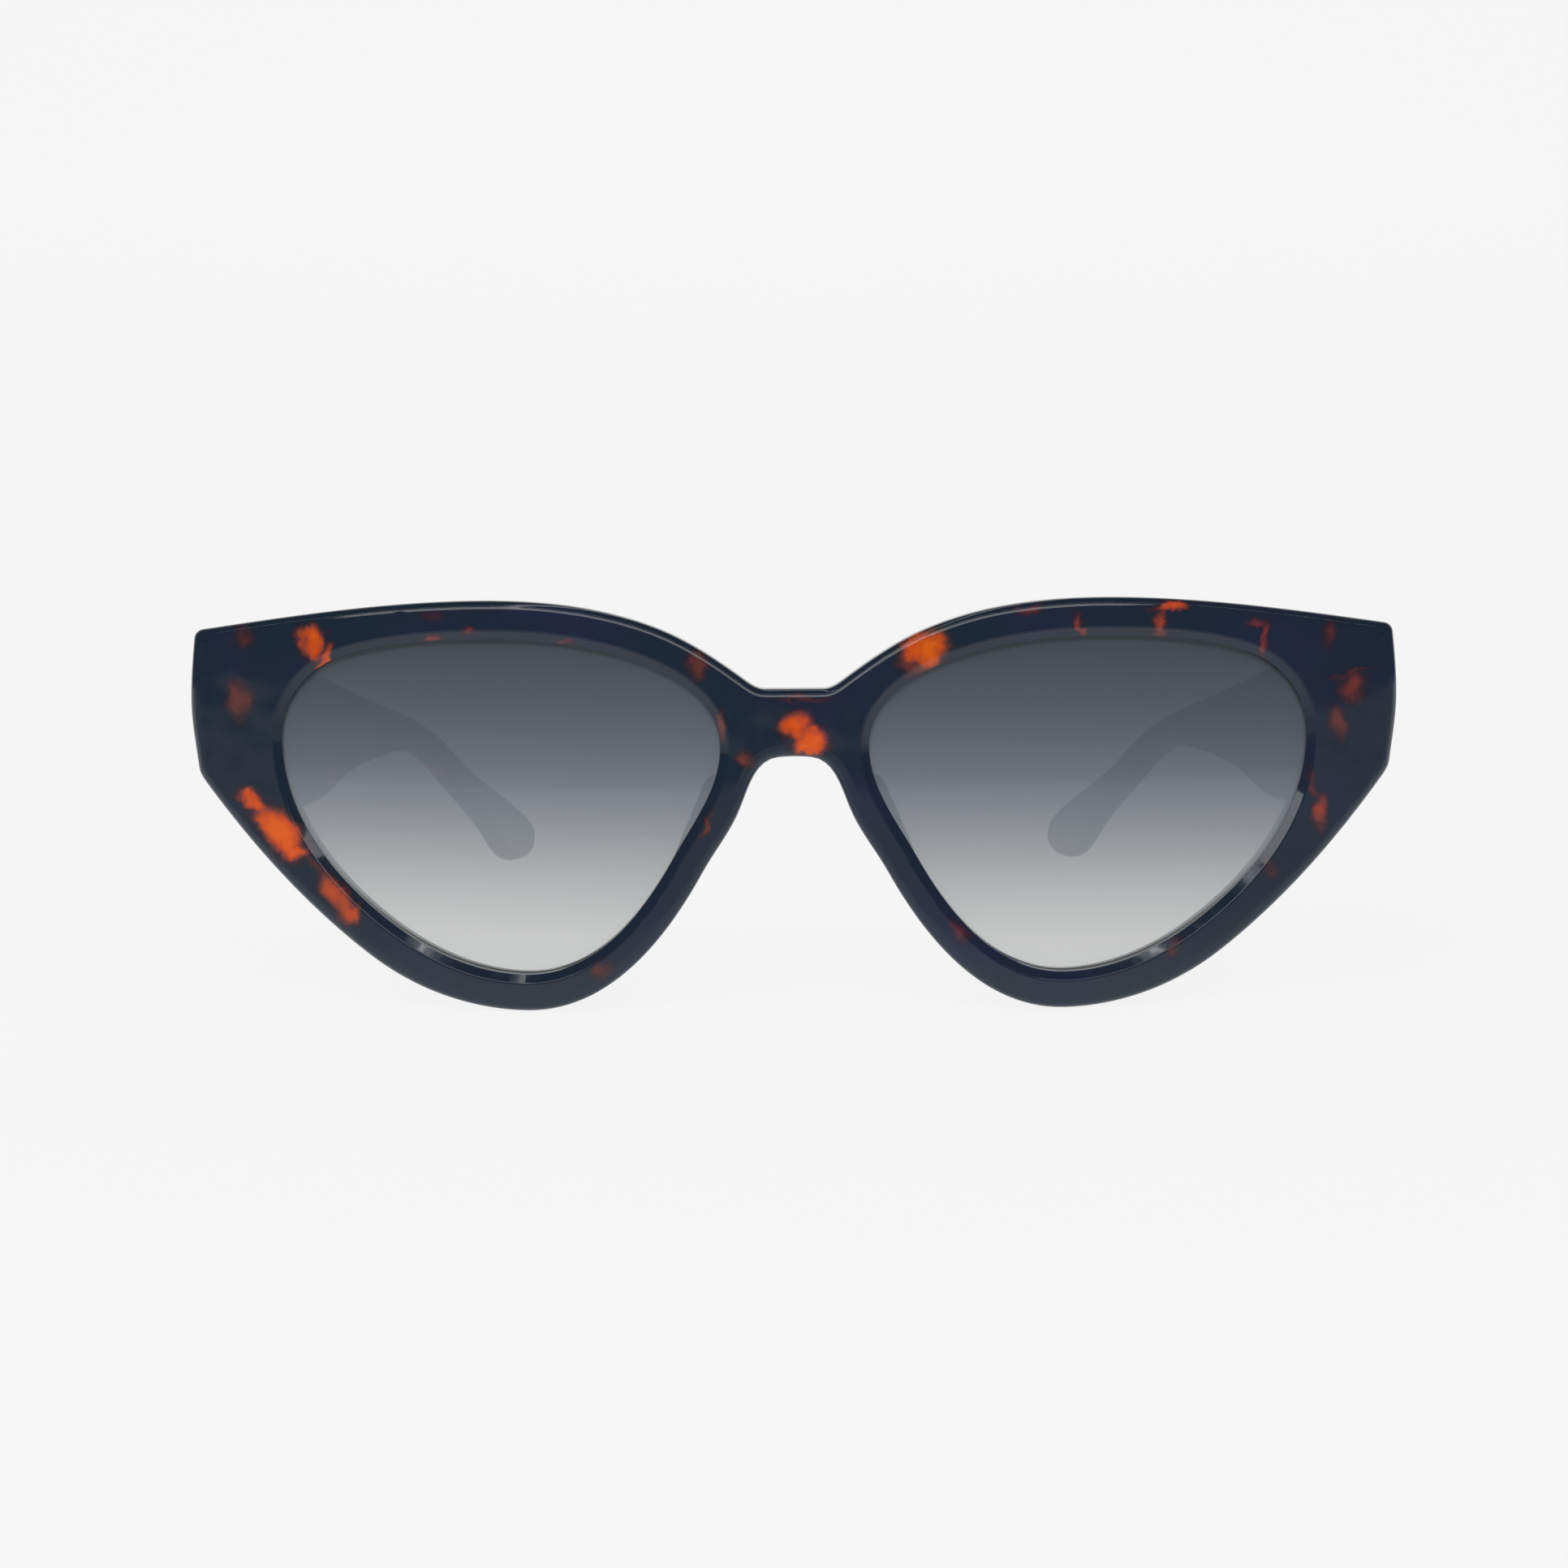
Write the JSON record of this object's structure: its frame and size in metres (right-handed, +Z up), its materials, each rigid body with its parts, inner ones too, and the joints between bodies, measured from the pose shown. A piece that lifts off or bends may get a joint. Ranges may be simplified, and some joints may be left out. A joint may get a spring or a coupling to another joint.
{
  "type": "sunglasses",
  "caption": "Cat eye sunglasses: a curved tortoise front with gradient lenses, bonded nose pads and folding temples on metal hinges.",
  "frame": {"origin": "on the table, under the middle of the whole object's box: half way between the front and the temple tips", "axes": "+X to the wearer's left, +Y from the front back to the ears, +Z up; the front faces -Y"},
  "size_m": [0.145, 0.1618, 0.0481],
  "materials": {
    "acetate": "polished dark blue tortoise cellulose acetate with amber and red-brown patches",
    "lens": "polished smoke tint, dark at the top and nearly clear at the bottom",
    "hinge_metal": "nickel silver, milled and tumbled",
    "screw_metal": "stainless steel, turned",
    "core_metal": "nickel silver wire, drawn"
  },
  "bodies": {
    "front": {"front_frame": "acetate", "lens_left": "lens", "lens_right": "lens", "nose_pad_left": "acetate", "nose_pad_right": "acetate", "front_hinge_left": "hinge_metal", "front_hinge_right": "hinge_metal", "hinge_screw_left": "screw_metal", "hinge_screw_right": "screw_metal"},
    "temple_left": {"temple_left": "acetate", "temple_hinge_left": "hinge_metal", "core_wire_left": "core_metal"},
    "temple_right": {"temple_right": "acetate", "temple_hinge_right": "hinge_metal", "core_wire_right": "core_metal"}
  },
  "joints": [
    {"name": "left_fold", "type": "hinge", "parent": "front", "child": "temple_left", "pos_m": [0.06385, -0.06395, 0.0365], "axis": [0, 0, 1], "range_deg": [0, 85]},
    {"name": "right_fold", "type": "hinge", "parent": "front", "child": "temple_right", "pos_m": [-0.06385, -0.06395, 0.0365], "axis": [0, 0, -1], "range_deg": [0, 78]}
  ]
}
